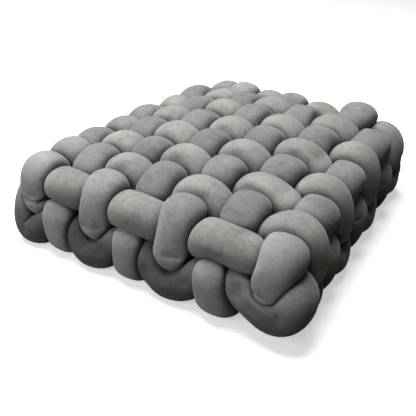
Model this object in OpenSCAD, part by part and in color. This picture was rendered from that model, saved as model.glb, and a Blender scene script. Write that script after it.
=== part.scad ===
// Woven floor cushion: fifteen closed loops of stuffed velvet tube in a two-layer plain weave.
// Frame: origin on the floor under the middle, +X across the columns, +Y across the rows, +Z up.
// A row loop stands in a plane of constant y, a column loop in a plane of constant x. Each loop
// runs along the top, turns down round the outer loop it meets, comes back underneath and closes.

/* [Cushion] */
// Width of the cushion across the seven columns, halfway back
plan_w = 420; // [410:2:430]
// Depth of the cushion across the eight rows, halfway across
plan_d = 502; // [492:2:512]
// Height from the floor to the top crowns along the edges
edge_h = 134; // [132:1:138]
// How much higher the top stands in the middle
dome = 36; // [30:2:38]
// How far the underside curls up towards its edges
curl = 7; // [4:1:8]
// How much narrower the cushion is at the back than at the front
taper_x = 0.08; // [0.04:0.02:0.08]
// How much shallower the cushion is at the right than at the left
taper_y = 0.03; // [0:0.01:0.05]
// How much narrower the top is than the bottom
draw_in = 0.04; // [0.02:0.01:0.05]
// How far the top sits behind the bottom
lean = 5; // [0:1:6]

/* [Stuffed tube] */
// Half the height of the tube where nothing presses on it
tube_h = 26; // [25.5:0.5:26]
// Half the width of the tube where nothing presses on it
tube_w = 27; // [26:0.5:28]
// Thickness of the sewn velvet sleeve
sleeve_t = 2; // [1.5:0.5:3]
// Clearance left between two tubes that press together
press_gap = 1.5; // [1:0.5:3]
// Clearance between a sleeve and the filling inside it
fill_gap = 0.3; // [0.2:0.1:0.6]

/* [Weave] */
// Height of the inner passes above and below the middle plane
inner_level = 12.5; // [12.5:0.5:13.5]
// How far the bottom crowns would reach below the floor if it didn't press them flat
settle = 20; // [18:1:21]
// How far the four outermost loops sway outwards where they lie outside
sway_out = 7; // [5:1:9]
// How far the four outermost loops are drawn inwards where they are wrapped
sway_in = 7; // [4:1:8]
// How much lower the first and last rows lie on the top than the other rows
edge_drop = 6; // [4:1:8]
// Distance from the last crossing to the crest of an end turn
turn_reach = 21; // [21:0.5:22]
// Height of an end turn's crest above or below the middle plane
turn_level = 12; // [11:1:13]
// How much wider the spacing is at the right and the back than in the middle
spacing_swing = 0.02; // [0:0.01:0.03]

/* [Hidden] */
columns = 7;
rows = 8;
sides = 8;
fold = 4;             // centreline samples from one control point to the next
bridging = 13;        // how far flat panels bridge the hollows between two pressed tubes
softness = 7;         // exponent of the rounding between the free and the pressed radius
squareness = 2.3;     // exponent of the free section, where 2 is an ellipse
least_r = 5;          // smallest radius that a pressed tube keeps
reach = 80;           // how far away a tube may be and still press
mid = edge_h / 2;
crown_fall = 5 / 32;   // share of its height that the line loses a quarter of the way down
crest_fall = 1.7;      // what an end turn's widest panel falls short of the round turn
crown_tilt = 2.4;      // what a crown's tilted panels fall short of the round crown
top_level = (mid + crown_tilt - tube_h - crown_fall * inner_level) / (1 - crown_fall);
low_level = top_level + settle;
half_w = plan_w / 2 + crest_fall;
half_d = plan_d / 2 + crest_fall;
span_x = half_w - tube_h - turn_reach;
span_y = half_d - tube_h - turn_reach;
velvet = [0.42, 0.42, 0.44];
fibre = [0.93, 0.93, 0.91];

// ---- the weave -------------------------------------------------------------------------

function odd(k) = k % 2 == 1;

// Place of crossing k along a loop that has n of them. The spacing widens towards one end.
function station(k, n, span, swing) =
    let (u = 2 * k / (n - 1) - 1)
    span * (u + swing * (1 - u * u));

function column_at(c) = station(c, columns, span_x, -spacing_swing);
function row_at(r) = station(r, rows, span_y, -spacing_swing);

// Outward sway of an outermost loop: -1 at index 0, +1 at the last index, 0 between
function side_of(i, count) = i == 0 ? -1 : i == count - 1 ? 1 : 0;

// Control points [along, across, height] of one loop. over[k] says where it is outside on top.
function controls(at, place, side, first_over, drop) =
    let (
        n = len(at),
        over = [for (k = [0 : n - 1]) odd(k) != first_over],
        sway = [for (k = [0 : n - 1]) side * (over[k] ? sway_out : -sway_in)],
        low_sway = [for (k = [0 : n - 1]) side * (over[k] ? -sway_in : sway_out)],
        top = top_level - drop * abs(side),
        last = over[n - 1] ? turn_level : -turn_level,
        first = over[0] ? turn_level : -turn_level
    )
    concat(
        [for (k = [0 : n - 1]) [at[k], place + sway[k], over[k] ? top : inner_level]],
        [[at[n - 1] + turn_reach, place, last]],
        [for (k = [n - 1 : -1 : 0])
            [at[k], place + low_sway[k], over[k] ? -inner_level : -low_level]],
        [[at[0] - turn_reach, place, first]]
    );

// A smooth closed line through the control points
function blend_at(a, b, c, d, t) =
    0.5 * (2 * b + (c - a) * t + (2 * a - 5 * b + 4 * c - d) * t * t
        + (3 * b - a - 3 * c + d) * t * t * t);

function smooth(p) =
    let (n = len(p))
    [for (i = [0 : n - 1], s = [0 : fold - 1])
        blend_at(p[(i + n - 1) % n], p[i], p[(i + 1) % n], p[(i + 2) % n], s / fold)];

// The dome of the top, the curled underside, the taper and the lean, with the floor at height 0
function settled(p) =
    let (
        u = p[0] / half_w,
        v = p[1] / half_d,
        share = (p[2] + mid) / edge_h,
        lift = dome * (1 - u * u) * (1 - v * v) * share + curl * (u * u + v * v) / 2 * (1 - share),
        drawn = 1 - draw_in * (share - 0.5)
    )
    [
        p[0] * (1 - taper_x * v) * drawn,
        p[1] * (1 - taper_y * u) * drawn + lean * (share - 0.5),
        p[2] + mid + lift
    ];

row_places = [for (r = [0 : rows - 1]) row_at(r)];
column_places = [for (c = [0 : columns - 1]) column_at(c)];

function row_line(r) = smooth([
    for (q = controls(column_places, row_places[r], side_of(r, rows), odd(r), edge_drop))
        settled([q[0], q[1], q[2]])
]);

function column_line(c) = smooth([
    for (q = controls(row_places, column_places[c], side_of(c, columns), !odd(c), 0))
        settled([q[1], q[0], q[2]])
]);

row_lines = [for (r = [0 : rows - 1]) row_line(r)];
column_lines = [for (c = [0 : columns - 1]) column_line(c)];
lines = concat(row_lines, column_lines);

// ---- the section of a tube -------------------------------------------------------------

// Offsets from a place to every line near it. The loop's own line counts too, so that the
// inside of a tight turn never folds over itself.
function pressing(place) =
    [for (line = lines) for (q = line)
        if (norm(q - place) < reach && norm(q - place) > 0) q - place];

// Distance along a direction to where a neighbour at offset q is as near as the own centreline
function meets(q, way) = q * way > 0.001 ? q * q / (2 * q * way) : 1000;

// Half-width of the free section at an angle from the loop's outside, out to an octagon's corner
function free_r(angle) =
    pow(pow(abs(cos(angle)) / tube_h, squareness) + pow(abs(sin(angle)) / tube_w, squareness),
        -1 / squareness) / cos(180 / sides);

function free_or_pressed(angle, rho) =
    pow(pow(free_r(angle), -softness) + pow(max(rho, least_r), -softness), -1 / softness);

// Rings of corner points round a loop's line, shrunk inward by `inset`
function section(line, k, across, inset) =
    let (
        n = len(line),
        along = line[(k + 1) % n] - line[(k + n - 1) % n],
        up = cross(across, along) / norm(cross(across, along)),
        near = pressing(line[k])
    )
    [for (s = [0 : sides - 1])
        let (
            angle = 360 * (s + 0.5) / sides,
            way = cos(angle) * up + sin(angle) * across,
            rho = min([for (q = near) meets(q, way)]) - (press_gap + bridging) / 2,
            corner = line[k] + (free_or_pressed(angle, rho) - inset) * way
        )
        [corner[0], corner[1], max(corner[2], inset)]];

module tube(own, across, inset) {
    line = lines[own];
    stations = [for (k = [0 : len(line) - 1]) if (odd(k)) k];
    n = len(stations);
    corners = [for (k = stations) for (p = section(line, k, across, inset)) p];
    panels = [for (i = [0 : n - 1], s = [0 : sides - 1])
        let (a = i * sides, b = (i + 1) % n * sides, t = (s + 1) % sides)
        each [[a + s, b + s, b + t], [a + s, b + t, a + t]]];
    polyhedron(points = corners, faces = panels, convexity = 10);
}

module sleeve(own, across) {
    color(velvet) difference() {
        tube(own, across, 0);
        tube(own, across, sleeve_t);
    }
}

module core(own, across) {
    color(fibre) tube(own, across, sleeve_t + fill_gap);
}

// ---- the fifteen loops -----------------------------------------------------------------

module row_sleeve(r) { sleeve(r, [0, 1, 0]); }
module row_core(r) { core(r, [0, 1, 0]); }
module column_sleeve(c) { sleeve(rows + c, [1, 0, 0]); }
module column_core(c) { core(rows + c, [1, 0, 0]); }

module row_0_sleeve() { row_sleeve(0); }
module row_0_core() { row_core(0); }
module row_1_sleeve() { row_sleeve(1); }
module row_1_core() { row_core(1); }
module row_2_sleeve() { row_sleeve(2); }
module row_2_core() { row_core(2); }
module row_3_sleeve() { row_sleeve(3); }
module row_3_core() { row_core(3); }
module row_4_sleeve() { row_sleeve(4); }
module row_4_core() { row_core(4); }
module row_5_sleeve() { row_sleeve(5); }
module row_5_core() { row_core(5); }
module row_6_sleeve() { row_sleeve(6); }
module row_6_core() { row_core(6); }
module row_7_sleeve() { row_sleeve(7); }
module row_7_core() { row_core(7); }
module column_0_sleeve() { column_sleeve(0); }
module column_0_core() { column_core(0); }
module column_1_sleeve() { column_sleeve(1); }
module column_1_core() { column_core(1); }
module column_2_sleeve() { column_sleeve(2); }
module column_2_core() { column_core(2); }
module column_3_sleeve() { column_sleeve(3); }
module column_3_core() { column_core(3); }
module column_4_sleeve() { column_sleeve(4); }
module column_4_core() { column_core(4); }
module column_5_sleeve() { column_sleeve(5); }
module column_5_core() { column_core(5); }
module column_6_sleeve() { column_sleeve(6); }
module column_6_core() { column_core(6); }

row_0_sleeve();
row_0_core();
row_1_sleeve();
row_1_core();
row_2_sleeve();
row_2_core();
row_3_sleeve();
row_3_core();
row_4_sleeve();
row_4_core();
row_5_sleeve();
row_5_core();
row_6_sleeve();
row_6_core();
row_7_sleeve();
row_7_core();
column_0_sleeve();
column_0_core();
column_1_sleeve();
column_1_core();
column_2_sleeve();
column_2_core();
column_3_sleeve();
column_3_core();
column_4_sleeve();
column_4_core();
column_5_sleeve();
column_5_core();
column_6_sleeve();
column_6_core();
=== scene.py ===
import math

import bpy
import numpy as np
from mathutils import Matrix, Vector


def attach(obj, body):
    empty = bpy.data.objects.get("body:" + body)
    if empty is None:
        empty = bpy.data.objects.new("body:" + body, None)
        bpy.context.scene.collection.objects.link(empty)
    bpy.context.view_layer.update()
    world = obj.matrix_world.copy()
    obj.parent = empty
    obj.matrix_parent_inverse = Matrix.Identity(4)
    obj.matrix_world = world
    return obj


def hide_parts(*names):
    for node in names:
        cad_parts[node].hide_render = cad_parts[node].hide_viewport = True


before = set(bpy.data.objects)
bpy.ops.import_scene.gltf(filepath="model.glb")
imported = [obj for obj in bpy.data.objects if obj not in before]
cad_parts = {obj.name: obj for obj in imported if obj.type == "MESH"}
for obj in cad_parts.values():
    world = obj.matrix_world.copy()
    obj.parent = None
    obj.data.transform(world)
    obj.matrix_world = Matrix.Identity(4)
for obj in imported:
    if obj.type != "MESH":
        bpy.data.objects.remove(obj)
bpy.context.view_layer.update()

# ---------------------------------------------------------------- sizes, in metres
MM = 0.001
COLUMNS, ROWS = 7, 8
HALF_W, HALF_D = 210 * MM, 251 * MM  # half the plan at the middle of the cushion
EDGE_H = 129.5 * MM  # from the floor to the crowns along the edges
MID = EDGE_H / 2
DOME = 37.5 * MM  # how much higher the middle stands
DOME_DEPTH = 1.15  # how much sooner the dome ends along the depth
TUBE_H, TUBE_LOW = 26.3 * MM, 25.7 * MM  # half the tube's height in the top layer and in the bottom one
TUBE_W = 28.4 * MM  # half its width
RIM_SWELL = 1.6 * MM  # how much thicker the tube is out at the rim
SQUARENESS = 2.3  # exponent of the free section, where 2 is an ellipse
SQUASHED_SQUARENESS = 0.8  # how much squarer an inner pass is pressed
INNER_LEVEL = 8 * MM  # inner passes above and below the middle plane
SETTLE = 3.7 * MM  # how far the floor flattens the bottom crowns
WRAP_DROP = 0.2 * MM  # how much nearer the middle plane the inner passes of the outermost loops lie
RIM_RISE = 0.8 * MM  # how much higher their bottom crowns lie
TURN_CREST = 10.8 * MM  # from the last crossing to the crest of an end turn that wraps down from the top
TURN_LEVEL = -1 * MM  # the height of that crest from the middle plane
LOW_TURN_FULL = 1.1  # how full the tube is at the crest of an end turn that comes up from below
# How far an outermost loop sways outwards and inwards, on the top and underneath, and how far its top
# drops. Then how full the end turns of every loop are, and where the crests of the lower ones are.
ROW_EDGE = {
    "out": 8.7 * MM, "in": 12.2 * MM, "low_out": 7.3 * MM, "low_in": -6.4 * MM, "drop": 7.5 * MM,
    "turn_full": 0.8, "low_crest": 14.5 * MM, "low_level": -6 * MM,
}
COLUMN_EDGE = {
    "out": 4.9 * MM, "in": 12.4 * MM, "low_out": 6.9 * MM, "low_in": 4.5 * MM, "drop": 1.6 * MM,
    "turn_full": 0.1, "low_crest": 15.5 * MM, "low_level": -9 * MM,
}
SPREAD = 0.14  # how far an inner pass is squashed sideways
WIDENING = 1.5  # how far the tubes widen where the crossings are spaced wider
SWING_X, SWING_Y = 0.09, 0.122  # how much wider the crossings are spaced at the right and at the back
TAPER_X, TAPER_Y = 0.103, 0.028  # how much narrower the plan is at the back, and shallower at the right
TOP_TILT = (2.3 * MM, 1.7 * MM, 5 * MM)  # lift of the top along x, along y and at the corners
LOW_TILT = (0.9 * MM, 2.8 * MM, -1.8 * MM)  # the same for the underside
LOW_CURL = 10 * MM  # how far the underside curls up at its edges
LEAN = (3.4 * MM, 5.2 * MM)  # how far the top sits to the right of and behind the bottom
DRAW_IN = (0.053, 0.049)  # how much narrower the top is than the bottom
DOME_FALL = -0.3  # share of the dome that the corners may fall below the edges
GAP = 0.4 * MM  # between two tubes that press together
LEAST_RADIUS = 3 * MM  # that a pressed tube keeps
SOFTNESS = 8  # exponent of the rounding between the free and the pressed radius
REACH = 75 * MM  # how far away a tube may be and still press
UNEVEN = 0.03  # how much the stuffing varies along a tube
FOLD_DEPTH = 0.9 * MM  # of the creases inside the bends
FOLD_LENGTHS = (9.5 * MM, 13 * MM, 21 * MM)  # from one crease to the next
FOLD_START = 0.25  # bend times radius at which creases begin
SWELL = 0.07  # how much fuller the tube is where it lies outside than where it is wrapped

COARSE = 2  # every second station and vertex makes the cloth's cage, and `refined` doubles them again
HOLD_LEVELS = 4  # steps of the pin group between free and held
PRESSURE = 4
HELD_HEIGHT = 3 * MM  # above the floor, up to which the floor holds the velvet
LOOSENESS = 0.03  # how much larger the velvet is cut than the stuffing needs
CLOTH_FRAMES = 20
MOST_MOVED = 4 * MM  # cap on how far the cloth moves a point

FINE = 14  # stations from one crossing to the next
AROUND = 36  # vertices around a tube
SEED = 20
SEAM_OFFSET = 4  # stations from a crown to the seam beside it
SEAM_DEPTH = 1.2 * MM  # how deep the seam is drawn in
SEAM_FULL, SEAM_BELOW = 0.8, 15 * MM  # how full and how low a crown is that takes the seam
SEAM_FREE = 0.6  # the velvet is sewn where it is pressed less than this
CLEARANCE = 0.4 * MM  # of the flattened crowns above the floor, so that the two do not flicker
THREAD = 0.5 * MM  # half the width of a stitch
FILL_SETBACK = 3 * MM  # taken off the filling's radius as well
FILL_SHARE = 0.78  # radius of the visible filling over that of its sleeve
ROW_LOW_SHADE = 0.64  # painted shade: how much darker the rows are painted low down along the rims
COLUMN_END_LIGHT = 0.85  # painted light: how much lighter the columns are painted round their ends
PAINTED_LIGHT_FADE = 24 * MM  # the height below the middle plane over which the painted light and shade change
ROW_RIM, COLUMN_RIM, RIM_FADE = 0.68, 0.76, 0.12  # where the rims with painted light and shade begin, and how softly, as shares

rng = np.random.default_rng(SEED)


# ---------------------------------------------------------------- the weave
def station(k, n, span, swing):
    u = 2 * k / (n - 1) - 1
    return span * (u - swing * (1 - u * u))


SPAN_X = HALF_W - TUBE_H - TURN_CREST
SPAN_Y = HALF_D - TUBE_H - TURN_CREST
COLUMN_X = [station(c, COLUMNS, SPAN_X, SWING_X) for c in range(COLUMNS)]
ROW_Y = [station(r, ROWS, SPAN_Y, SWING_Y) for r in range(ROWS)]


def end_turn(at, way, place, over, edge):
    """The crest of an end turn beyond the last crossing; a wrap from the top or an end from below."""
    if over:
        return at + way * TURN_CREST, place, TURN_LEVEL, edge["turn_full"]
    return at + way * edge["low_crest"], place, edge["low_level"], LOW_TURN_FULL


def controls(at, place, side, first_over, edge):
    """A loop's control points: along, across, height from the middle plane, and how full it is."""
    n = len(at)
    over = [(k % 2 == 1) != first_over for k in range(n)]
    rim = abs(side)
    top = MID - TUBE_H - rim * edge["drop"]
    wrapped = INNER_LEVEL - rim * WRAP_DROP
    low = MID - TUBE_LOW + SETTLE - rim * RIM_RISE
    pts = [(at[k], place + side * (edge["out"] if over[k] else -edge["in"]), top if over[k] else wrapped,
            1 if over[k] else 0) for k in range(n)]
    pts.append(end_turn(at[-1], 1, place, over[-1], edge))
    for k in reversed(range(n)):
        pts.append((at[k], place + side * (-edge["low_in"] if over[k] else edge["low_out"]),
                    -INNER_LEVEL if over[k] else -low, 0 if over[k] else 1))
    pts.append(end_turn(at[0], -1, place, over[0], edge))
    return np.array(pts, float)


def settled(p):
    """Domes the top, curls the underside's edges up, tapers the plan and puts the floor at height 0."""
    u, v = p[:, 0] / HALF_W, p[:, 1] / HALF_D
    s = (p[:, 2] + MID) / EDGE_H
    top = DOME * np.clip((1 - u * u) * (1 - DOME_DEPTH * v * v), DOME_FALL, 1)
    top += TOP_TILT[0] * u + TOP_TILT[1] * v + TOP_TILT[2] * u * v
    low = LOW_TILT[0] * u + LOW_TILT[1] * v + LOW_TILT[2] * u * v + LOW_CURL * (u * u + v * v) / 2
    x = p[:, 0] * (1 - TAPER_X * v) * (1 - DRAW_IN[0] * (s - 0.5)) + LEAN[0] * (s - 0.5)
    y = p[:, 1] * (1 - TAPER_Y * u) * (1 - DRAW_IN[1] * (s - 0.5)) + LEAN[1] * (s - 0.5)
    return np.stack([x, y, p[:, 2] + MID + top * s + low * (1 - s), p[:, 3]], 1)


def catmull(p, fine):
    """A closed Catmull-Rom curve through p, fine samples per interval."""
    n = len(p)
    t = (np.arange(fine) / fine)[:, None]
    out = []
    for i in range(n):
        a, b, c, d = p[i - 1], p[i], p[(i + 1) % n], p[(i + 2) % n]
        out.append(0.5 * (2 * b + (c - a) * t + (2 * a - 5 * b + 4 * c - d) * t**2
                          + (3 * b - a - 3 * c + d) * t**3))
    return np.concatenate(out)


def side_of(i, count):
    return -1 if i == 0 else 1 if i == count - 1 else 0


JITTER = np.array([1.2, 1.2, 0.8, 0]) * MM
# Knots that lie out of line: (control point, (along, across, up) in mm). A loop's control points
# run along its top from index 0, then the far crest, back underneath, and the near crest last.
NUDGES = {
    "row_0": [(6, (0, 0, -2)), (7, (8, -2, -3)), (8, (7, -1, 14)), (9, (3, 0, 4))],
    "row_7": [(6, (0, 0, -6)), (7, (2, 0, -7)), (8, (0, 0, -2))],
    "column_1": [(8, (2, 0, -7)), (9, (1, 0, -5))],
    "column_3": [(8, (2, 0, -7)), (9, (1, 0, -5))],
    "column_5": [(7, (3, 20, 12)), (8, (2, 18, 8))],
    "column_6": [(17, (-2, -2, -2)), (16, (0, -4, -3))],
    "column_0": [(0, (0, 2, -3)), (1, (0, 2, -3))],
}


def nudge(name, q):
    for k, offset in NUDGES.get(name, []):
        q[k, :3] += np.array(offset) * MM


def build_lines():
    lines = {}
    for r in range(ROWS):
        q = controls(COLUMN_X, ROW_Y[r], side_of(r, ROWS), r % 2 == 1, ROW_EDGE)
        q += rng.normal(0, 1, q.shape) * JITTER
        nudge(f"row_{r}", q)
        lines[f"row_{r}"] = catmull(settled(q), FINE)
    for c in range(COLUMNS):
        q = controls(ROW_Y, COLUMN_X[c], side_of(c, COLUMNS), c % 2 == 0, COLUMN_EDGE)
        q += rng.normal(0, 1, q.shape) * JITTER
        nudge(f"column_{c}", q)
        lines[f"column_{c}"] = catmull(settled(q[:, [1, 0, 2, 3]]), FINE)
    return lines


LINES = build_lines()
ALL_POINTS = np.concatenate([line[:, :3] for line in LINES.values()])


def unit(v):
    return v / np.linalg.norm(v, axis=-1, keepdims=True)


def wander(n, own, count=4):
    """A smooth random value from about -1 to 1 round a closed loop of n stations."""
    t = 2 * np.pi * np.arange(n) / n
    terms = [own.normal(0, 1) * np.sin(k * t + own.uniform(0, 2 * np.pi)) for k in range(2, 2 + count)]
    return sum(terms) / math.sqrt(count)


def folds(line, along, way, radius, own):
    """Fine creases on the inside of the bends, where the velvet is gathered up."""
    step = np.linalg.norm(np.roll(line, -1, 0) - line, axis=1)
    s = np.cumsum(step)
    bend = (np.roll(along, -1, 0) - np.roll(along, 1, 0)) / (step + np.roll(step, 1))[:, None]
    inside = np.einsum("nk,nmk->nm", bend, way) * radius
    gathered = np.clip((inside - FOLD_START) / 0.5, 0, 1)
    around = np.linspace(0, 2 * np.pi, radius.shape[1], endpoint=False)
    wave = 0
    for length in FOLD_LENGTHS:
        turns = round(s[-1] / length)
        lean = own.uniform(0, 2 * np.pi)
        wave = wave + np.sin(2 * np.pi * turns * s[:, None] / s[-1] + lean
                             + 0.9 * np.sin(around[None] + own.uniform(0, 2 * np.pi)))
    return FOLD_DEPTH * gathered * np.minimum(wave, 0.4)


def tube_points(name, around=AROUND, fill=1.0):
    """Points of a stuffed tube as an array (stations, around, 3), and how pressed each one is."""
    line, full = LINES[name][:, :3], LINES[name][:, 3]
    n = len(line)
    across = np.array([0.0, 1.0, 0.0]) if name.startswith("row") else np.array([-1.0, 0.0, 0.0])
    along = unit(np.roll(line, -1, 0) - np.roll(line, 1, 0))
    out = unit(np.cross(along, across))
    lateral = np.cross(out, along)
    angle = 2 * np.pi * (np.arange(around) + 0.5) / around
    ca, sa = np.cos(angle), np.sin(angle)
    lowness = np.clip(0.5 - (line[:, 2] - MID) / (0.4 * EDGE_H), 0, 1)
    rim = np.clip(4 * np.maximum(np.abs(line[:, 0]) / HALF_W, np.abs(line[:, 1]) / HALF_D) - 2.6, 0, 1)
    own = np.random.default_rng(SEED + sum(map(ord, name)))
    grow = (1 + SWELL * (2 * full - 1)) * (1 + UNEVEN * wander(n, own))
    half_h = (TUBE_H + (TUBE_LOW - TUBE_H) * lowness + RIM_SWELL * rim) * grow
    if name.startswith("row"):
        place, swing = line[:, 1] / HALF_D, SWING_Y
    else:
        place, swing = line[:, 0] / HALF_W, SWING_X
    wide = 1 + WIDENING * swing * np.clip(place, 0, 1) * (1 - rim * (1 - lowness))
    squashed = np.clip(1 - full, 0, 1) * (1 - rim)
    half_w = (TUBE_W + RIM_SWELL * rim) * grow * wide * (1 + SPREAD * squashed)
    square = (SQUARENESS + SQUASHED_SQUARENESS * squashed)[:, None]
    free = ((np.abs(ca)[None] / half_h[:, None]) ** square
            + (np.abs(sa)[None] / half_w[:, None]) ** square) ** (-1 / square)
    way = ca[None, :, None] * out[:, None, :] + sa[None, :, None] * lateral[:, None, :]
    rho = np.full((n, around), 1.0)
    for i in range(n):
        q = ALL_POINTS - line[i]
        d2 = (q * q).sum(1)
        near = (d2 < REACH**2) & (d2 > 1e-10)
        q, d2 = q[near], d2[near]
        dot = way[i] @ q.T
        cut = np.where(dot > 1e-5, d2[None, :] / (2 * np.maximum(dot, 1e-5)), 1.0)
        rho[i] = cut.min(1)
    for _ in range(2):
        rho = 0.5 * rho + 0.25 * (np.roll(rho, 1, 0) + np.roll(rho, -1, 0))
        rho = 0.5 * rho + 0.25 * (np.roll(rho, 1, 1) + np.roll(rho, -1, 1))
    pressed_r = np.maximum(rho - GAP / 2, LEAST_RADIUS)
    radius = (free**-SOFTNESS + pressed_r**-SOFTNESS) ** (-1 / SOFTNESS)
    pressed = np.clip((free - radius) / free / 0.25, 0, 1)
    if fill == 1:
        radius = radius + folds(line, along, way, radius, own)
    else:
        radius = np.maximum(radius * fill - FILL_SETBACK, 1 * MM)
    p = line[:, None, :] + radius[:, :, None] * way
    p[:, :, 2] = np.maximum(p[:, :, 2], (1 - fill) * TUBE_LOW)
    return p, pressed


def painted_light_and_shade(name):
    """Painted light and shade for each station of a tube, where 1 is its own colour: darker low down
    along the rims of the rows, lighter round the ends of the columns.
    """
    line = LINES[name][:, :3]
    low = np.clip((MID - line[:, 2]) / PAINTED_LIGHT_FADE, 0, 1)
    if name.startswith("row"):
        rim = np.maximum(np.abs(line[:, 0]) / HALF_W, np.abs(line[:, 1]) / HALF_D)
        return 1 - ROW_LOW_SHADE * low * np.clip((rim - ROW_RIM) / RIM_FADE, 0, 1)
    outer = np.clip((np.abs(line[:, 1]) / HALF_D - COLUMN_RIM) / RIM_FADE, 0, 1)
    return 1 + COLUMN_END_LIGHT * outer * (0.6 + 0.4 * low)


def grid_mesh(name, p, pressed=None, painted_light_and_shade=None):
    n, m, _ = p.shape
    i, j = np.meshgrid(np.arange(n), np.arange(m), indexing="ij")
    a = i * m + j
    b = ((i + 1) % n) * m + j
    c = ((i + 1) % n) * m + (j + 1) % m
    d = i * m + (j + 1) % m
    faces = np.stack([a, b, c, d], -1).reshape(-1, 4)
    mesh = bpy.data.meshes.new(name)
    mesh.from_pydata(p.reshape(-1, 3).tolist(), [], faces.tolist())
    mesh.polygons.foreach_set("use_smooth", [True] * len(faces))
    if pressed is not None:
        attribute = mesh.attributes.new("pressed", "FLOAT", "POINT")
        attribute.data.foreach_set("value", pressed.reshape(-1).astype(np.float32))
        # stores the painted light and shade of each station on its vertices
        attribute = mesh.attributes.new("painted_light_and_shade", "FLOAT", "POINT")
        attribute.data.foreach_set("value", np.repeat(painted_light_and_shade, m).astype(np.float32))
    mesh.update()
    obj = bpy.data.objects.new(name, mesh)
    bpy.context.scene.collection.objects.link(obj)
    return obj


# ---------------------------------------------------------------- materials
def new_material(name):
    m = bpy.data.materials.new(name)
    m.use_nodes = True
    tree = m.node_tree
    shader = tree.nodes["Principled BSDF"]
    return m, tree, shader


def noise(tree, scale, detail=2.0, rough=0.5, coords=None, distortion=0.0):
    node = tree.nodes.new("ShaderNodeTexNoise")
    node.inputs["Scale"].default_value = scale
    node.inputs["Detail"].default_value = detail
    node.inputs["Roughness"].default_value = rough
    node.inputs["Distortion"].default_value = distortion
    tree.links.new(coords, node.inputs["Vector"])
    return node


def ramp(tree, value, stops):
    node = tree.nodes.new("ShaderNodeValToRGB")
    elements = node.color_ramp.elements
    while len(elements) < len(stops):
        elements.new(0.5)
    for element, (at, colour) in zip(elements, stops):
        element.position = at
        element.color = (*colour, 1)
    tree.links.new(value, node.inputs["Fac"])
    return node


def mix(tree, kind, factor, a, b):
    node = tree.nodes.new("ShaderNodeMix")
    node.data_type = "RGBA"
    node.blend_type = kind
    for socket, value in ((node.inputs[0], factor), (node.inputs[6], a), (node.inputs[7], b)):
        if hasattr(value, "links"):
            tree.links.new(value, socket)
        elif isinstance(value, (int, float)):
            socket.default_value = value
        else:
            socket.default_value = (*value, 1)
    return node.outputs[2]


def velvet(name, dark, light, shift):
    m, tree, shader = new_material(name)
    tc = tree.nodes.new("ShaderNodeTexCoord")
    mapping = tree.nodes.new("ShaderNodeMapping")
    mapping.inputs["Location"].default_value = shift
    tree.links.new(tc.outputs["Object"], mapping.inputs["Vector"])
    coords = mapping.outputs["Vector"]
    broad = noise(tree, 13, 2, 0.5, coords, 0.3)
    colour = ramp(tree, broad.outputs["Fac"], [(0.35, dark), (0.65, light)]).outputs["Color"]
    brushed = noise(tree, 42, 3, 0.6, coords, 1.6)
    marks = ramp(tree, brushed.outputs["Fac"], [
        (0.34, (0.8, 0.805, 0.81)), (0.48, (0.97, 0.97, 0.97)), (0.58, (1, 1, 1)),
        (0.72, (1.1, 1.095, 1.085))])
    colour = mix(tree, "MULTIPLY", 1.0, colour, marks.outputs["Color"])
    flecks = noise(tree, 170, 3, 0.65, coords, 0.8)
    flecked = ramp(tree, flecks.outputs["Fac"], [(0.3, (0.91, 0.91, 0.91)), (0.7, (1.07, 1.07, 1.07))])
    colour = mix(tree, "MULTIPLY", 1.0, colour, flecked.outputs["Color"])
    pile = noise(tree, 750, 2, 0.6, coords)
    grain = ramp(tree, pile.outputs["Fac"], [(0.3, (0.88, 0.88, 0.88)), (0.7, (1.1, 1.1, 1.1))])
    colour = mix(tree, "MULTIPLY", 1.0, colour, grain.outputs["Color"])
    # Painted shade: the colour darkens down to 0.3 where the tubes press together and shade falls
    # between them.
    attribute = tree.nodes.new("ShaderNodeAttribute")
    attribute.attribute_name = "pressed"
    painted_crease_shade = ramp(tree, attribute.outputs["Fac"], [
        (0.0, (1, 1, 1)), (0.5, (0.7, 0.7, 0.72)), (1.0, (0.3, 0.3, 0.32))])
    colour = mix(tree, "MULTIPLY", 1.0, colour, painted_crease_shade.outputs["Color"])
    # Painted light and shade: the colour is scaled per station, darker low along the rims of the rows
    # and lighter round the ends of the columns.
    painted_light_attribute = tree.nodes.new("ShaderNodeAttribute")
    painted_light_attribute.attribute_name = "painted_light_and_shade"
    scaled = tree.nodes.new("ShaderNodeVectorMath")
    scaled.operation = "SCALE"
    tree.links.new(colour, scaled.inputs[0])
    tree.links.new(painted_light_attribute.outputs["Fac"], scaled.inputs["Scale"])
    colour = scaled.outputs[0]
    tree.links.new(colour, shader.inputs["Base Color"])
    shader.inputs["Roughness"].default_value = 0.92
    shader.inputs["Specular IOR Level"].default_value = 0.12
    shader.inputs["Sheen Weight"].default_value = 0.25
    shader.inputs["Sheen Roughness"].default_value = 0.5
    shader.inputs["Sheen Tint"].default_value = (0.9, 0.9, 0.88, 1)
    bump = tree.nodes.new("ShaderNodeBump")
    bump.inputs["Strength"].default_value = 0.3
    bump.inputs["Distance"].default_value = 0.0006
    tree.links.new(pile.outputs["Fac"], bump.inputs["Height"])
    tree.links.new(bump.outputs["Normal"], shader.inputs["Normal"])
    return m


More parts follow.
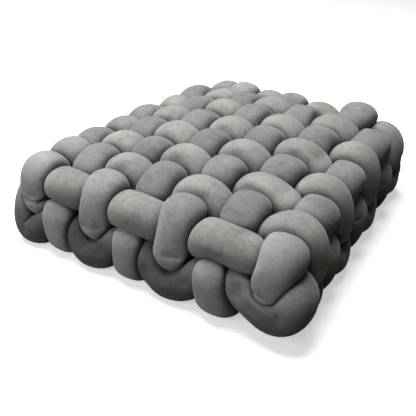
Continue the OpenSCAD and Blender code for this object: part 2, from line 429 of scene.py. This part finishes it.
def fibre_material():
    m, tree, shader = new_material("fibre_filling")
    tc = tree.nodes.new("ShaderNodeTexCoord")
    n = noise(tree, 220, 4, 0.7, tc.outputs["Object"], 1.5)
    c = ramp(tree, n.outputs["Fac"], [(0.3, (0.72, 0.71, 0.68)), (0.7, (0.9, 0.9, 0.88))])
    tree.links.new(c.outputs["Color"], shader.inputs["Base Color"])
    shader.inputs["Roughness"].default_value = 0.95
    bump = tree.nodes.new("ShaderNodeBump")
    bump.inputs["Strength"].default_value = 0.6
    bump.inputs["Distance"].default_value = 0.001
    tree.links.new(n.outputs["Fac"], bump.inputs["Height"])
    tree.links.new(bump.outputs["Normal"], shader.inputs["Normal"])
    return m


# One grey velvet in two copies: the rows are painted lighter and the columns darker, as painted light
# and shade for how the pile catches the light.
ROW_VELVET_PAINTED_LIGHTER = velvet("velvet_rows", (0.215, 0.213, 0.208), (0.29, 0.286, 0.277), (0, 0, 0))
COLUMN_VELVET_PAINTED_DARKER = velvet("velvet_columns", (0.16, 0.161, 0.164), (0.215, 0.216, 0.218), (3.1, 1.7, 0.4))
FIBRE = fibre_material()


def thread_material():
    m, tree, shader = new_material("sewing_thread")
    tc = tree.nodes.new("ShaderNodeTexCoord")
    n = noise(tree, 900, 2, 0.6, tc.outputs["Object"])
    c = ramp(tree, n.outputs["Fac"], [(0.35, (0.10, 0.10, 0.105)), (0.65, (0.17, 0.17, 0.175))])
    tree.links.new(c.outputs["Color"], shader.inputs["Base Color"])
    shader.inputs["Roughness"].default_value = 0.7
    return m


THREAD_MATERIAL = thread_material()

# ---------------------------------------------------------------- the cloth simulation
def settle_cloth(tubes):
    """Inflates the sleeves as cloth, held where they press together, and adds how far they moved."""
    scene = bpy.context.scene
    cages = {name: grid_mesh(f"{name}_cage", p[::COARSE, ::COARSE]) for name, (p, _) in tubes.items()}
    bpy.ops.object.select_all(action="DESELECT")
    for cage in cages.values():
        cage.select_set(True)
    cloth = next(iter(cages.values()))
    bpy.context.view_layer.objects.active = cloth
    bpy.ops.object.join()
    held = np.concatenate([held_share(p, pressed)[::COARSE, ::COARSE].reshape(-1)
                           for p, pressed in tubes.values()])
    group = cloth.vertex_groups.new(name="held")
    for level in range(HOLD_LEVELS + 1):
        members = np.flatnonzero(np.round(held * HOLD_LEVELS) == level)
        group.add(members.tolist(), level / HOLD_LEVELS, "REPLACE")
    before = np.array([v.co for v in cloth.data.vertices])
    modifier = cloth.modifiers.new("Cloth", "CLOTH")
    settings = modifier.settings
    settings.quality = 5
    settings.mass = 0.3
    settings.tension_stiffness = settings.compression_stiffness = 12
    settings.shear_stiffness = 4
    settings.bending_stiffness = 0.05
    settings.shrink_min = -LOOSENESS
    settings.use_pressure = True
    settings.uniform_pressure_force = PRESSURE
    settings.vertex_group_mass = "held"
    settings.effector_weights.gravity = 0
    modifier.collision_settings.use_collision = False
    modifier.point_cache.frame_start, modifier.point_cache.frame_end = 1, CLOTH_FRAMES
    for step in range(1, CLOTH_FRAMES + 1):
        scene.frame_set(step)
    graph = bpy.context.evaluated_depsgraph_get()
    after = np.array([v.co for v in cloth.evaluated_get(graph).data.vertices])
    moved = after - before
    far = np.linalg.norm(moved, axis=1, keepdims=True)
    moved *= np.minimum(1, MOST_MOVED / np.maximum(far, 1e-9))
    bpy.data.objects.remove(cloth)
    scene.frame_set(1)
    start = 0
    for name, (p, pressed) in tubes.items():
        shape = p[::COARSE, ::COARSE].shape
        count = shape[0] * shape[1]
        shift = refined(refined(moved[start:start + count].reshape(shape), 0), 1)
        p += shift
        start += count


def held_share(p, pressed):
    """1 where a sleeve presses on its neighbour or on the floor, 0 on its free crowns."""
    floored = np.clip(1 - p[:, :, 2] / HELD_HEIGHT, 0, 1)
    return np.maximum(np.clip(pressed * 3, 0, 1), floored)


def refined(a, axis):
    """Twice as many samples along a closed axis, each new one halfway between its neighbours."""
    between = (a + np.roll(a, -1, axis)) / 2
    shape = list(a.shape)
    shape[axis] *= 2
    return np.stack([a, between], axis + 1).reshape(shape)


# ---------------------------------------------------------------- the closing seams
def seam_station(name):
    """The station where a loop is sewn shut, beside one of its crowns on the underside."""
    line = LINES[name]
    low = [k for k in range(0, len(line), FINE)
           if line[k, 3] > SEAM_FULL and line[k, 2] < MID - SEAM_BELOW]
    middle = min(low, key=lambda k: np.hypot(line[k, 0], line[k, 1]))
    return (middle + SEAM_OFFSET) % len(line)


def draw_seam_in(name, p):
    k = seam_station(name)
    n = len(p)
    for step, depth in ((-1, 0.3), (0, 1.0), (1, 0.3)):
        i = (k + step) % n
        inward = unit(LINES[name][i, :3] - p[i])
        underneath = np.clip(2 * inward[:, 2:], 0, 1)
        p[i] += SEAM_DEPTH * depth * underneath * inward


def stitches(name, p, pressed):
    """Slanting stitches across the closing seam, wherever the sleeve is free there."""
    k = seam_station(name)
    n, m, _ = p.shape
    verts, faces = [], []
    for j in range(m):
        facing = unit(p[k, j] - LINES[name][k, :3])
        if pressed[k, j] > SEAM_FREE or facing[2] > -0.15:
            continue
        a = (p[k - 1, j] + p[k, j]) / 2
        b = (p[(k + 1) % n, (j + 1) % m] + p[k, (j + 1) % m]) / 2
        out = unit((a + b) / 2 - LINES[name][k, :3])
        side = unit(np.cross(b - a, out))
        base = len(verts)
        for end in (a, b):
            for s, t in ((-1, -0.3), (1, -0.3), (0.6, 1), (-0.6, 1)):
                verts.append(end + THREAD * (s * side + t * out))
        faces += [[base + q, base + (q + 1) % 4, base + 4 + (q + 1) % 4, base + 4 + q] for q in range(4)]
        faces += [[base + 3, base + 2, base + 1, base], [base + 4, base + 5, base + 6, base + 7]]
    verts = np.array(verts)
    verts[:, 2] = np.maximum(verts[:, 2], CLEARANCE / 2)
    mesh = bpy.data.meshes.new(f"{name}_seam")
    mesh.from_pydata(verts.tolist(), [], faces)
    mesh.update()
    obj = bpy.data.objects.new(f"{name}_seam", mesh)
    bpy.context.scene.collection.objects.link(obj)
    return obj


# ---------------------------------------------------------------- the pieces
TUBES = {name: tube_points(name) for name in LINES}
settle_cloth(TUBES)
for name, (points, pressed) in TUBES.items():
    draw_seam_in(name, points)
    points[:, :, 2] = np.maximum(points[:, :, 2], CLEARANCE)
    seam = stitches(name, points, pressed)
    seam.data.materials.append(THREAD_MATERIAL)
    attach(seam, "root")
    tube = grid_mesh(f"{name}_velvet", points, pressed, painted_light_and_shade(name))
    sub = tube.modifiers.new("smooth", "SUBSURF")
    sub.levels = sub.render_levels = 1
    tube.data.materials.append(ROW_VELVET_PAINTED_LIGHTER if name.startswith("row") else COLUMN_VELVET_PAINTED_DARKER)
    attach(tube, "root")
    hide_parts(f"{name}_sleeve")
    inner, _ = tube_points(name, 16, FILL_SHARE)
    filling = grid_mesh(f"{name}_filling", inner[::2])
    filling.data.materials.append(FIBRE)
    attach(filling, "root")
    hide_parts(f"{name}_core")

# ---------------------------------------------------------------- stage, light and camera
def look_at(obj, eye, target, roll=0.0):
    forward = (target - eye).normalized()
    rotation = forward.to_track_quat("-Z", "Y").to_matrix().to_4x4()
    obj.matrix_world = Matrix.Translation(eye) @ rotation @ Matrix.Rotation(roll, 4, "Z")


floor_mesh = bpy.data.meshes.new("floor")
floor_mesh.from_pydata([(-6, -6, 0), (6, -6, 0), (6, 6, 0), (-6, 6, 0)], [], [(0, 1, 2, 3)])
floor = bpy.data.objects.new("floor", floor_mesh)
bpy.context.scene.collection.objects.link(floor)
floor_material, floor_tree, floor_shader = new_material("pale_floor")
floor_shader.inputs["Base Color"].default_value = (0.92, 0.92, 0.92, 1)
floor_shader.inputs["Roughness"].default_value = 0.9
floor_shader.inputs["Emission Color"].default_value = (1, 1, 1, 1)
floor_shader.inputs["Emission Strength"].default_value = 0.5
bounce = floor_tree.nodes.new("ShaderNodeBsdfDiffuse")
bounce.inputs["Color"].default_value = (0.09, 0.075, 0.06, 1)
floor_path = floor_tree.nodes.new("ShaderNodeLightPath")
floor_mix = floor_tree.nodes.new("ShaderNodeMixShader")
floor_tree.links.new(floor_path.outputs["Is Camera Ray"], floor_mix.inputs["Fac"])
floor_tree.links.new(bounce.outputs["BSDF"], floor_mix.inputs[1])
floor_tree.links.new(floor_shader.outputs["BSDF"], floor_mix.inputs[2])
floor_tree.links.new(floor_mix.outputs["Shader"], floor_tree.nodes["Material Output"].inputs["Surface"])
floor_mesh.materials.append(floor_material)


def softbox(name, energy, size, eye, target, colour=(1, 1, 1)):
    data = bpy.data.lights.new(name, "AREA")
    data.shape = "DISK"
    data.size = size
    data.energy = energy
    data.color = colour
    light = bpy.data.objects.new(name, data)
    bpy.context.scene.collection.objects.link(light)
    look_at(light, Vector(eye), Vector(target))
    return light


softbox("overhead", 42, 1.3, (-0.35, 0.0, 1.5), (0, 0, 0.05), (1, 0.99, 0.965))
softbox("front_left", 12, 1.0, (-0.6, -1.6, 0.85), (0, 0, 0.08), (1, 0.985, 0.97))

world = bpy.data.worlds.new("studio")
bpy.context.scene.world = world
world.use_nodes = True
wt = world.node_tree
background = wt.nodes["Background"]
background.inputs["Color"].default_value = (1, 1, 1, 1)
background.inputs["Strength"].default_value = 0.07
seen = wt.nodes.new("ShaderNodeBackground")
seen.inputs["Color"].default_value = (1, 1, 1, 1)
seen.inputs["Strength"].default_value = 1.0
path = wt.nodes.new("ShaderNodeLightPath")
both = wt.nodes.new("ShaderNodeMixShader")
wt.links.new(path.outputs["Is Camera Ray"], both.inputs["Fac"])
wt.links.new(background.outputs["Background"], both.inputs[1])
wt.links.new(seen.outputs["Background"], both.inputs[2])
wt.links.new(both.outputs["Shader"], wt.nodes["World Output"].inputs["Surface"])

CAMERA_AZ, CAMERA_EL, CAMERA_ROLL = 31.84, 30.32, 2.87
CAMERA_DISTANCE = 967 * MM
TARGET = Vector((14.7 * MM, -96.5 * MM, 58.7 * MM))
az, el = math.radians(CAMERA_AZ), math.radians(CAMERA_EL)
eye = TARGET + CAMERA_DISTANCE * Vector(
    (math.sin(az) * math.cos(el), -math.cos(az) * math.cos(el), math.sin(el)))
camera_data = bpy.data.cameras.new("camera")
camera_data.sensor_width = 36
camera_data.lens = 56.8
camera = bpy.data.objects.new("camera", camera_data)
bpy.context.scene.collection.objects.link(camera)
look_at(camera, eye, TARGET, math.radians(CAMERA_ROLL))
bpy.context.scene.camera = camera
bpy.context.scene.view_settings.view_transform = "Standard"
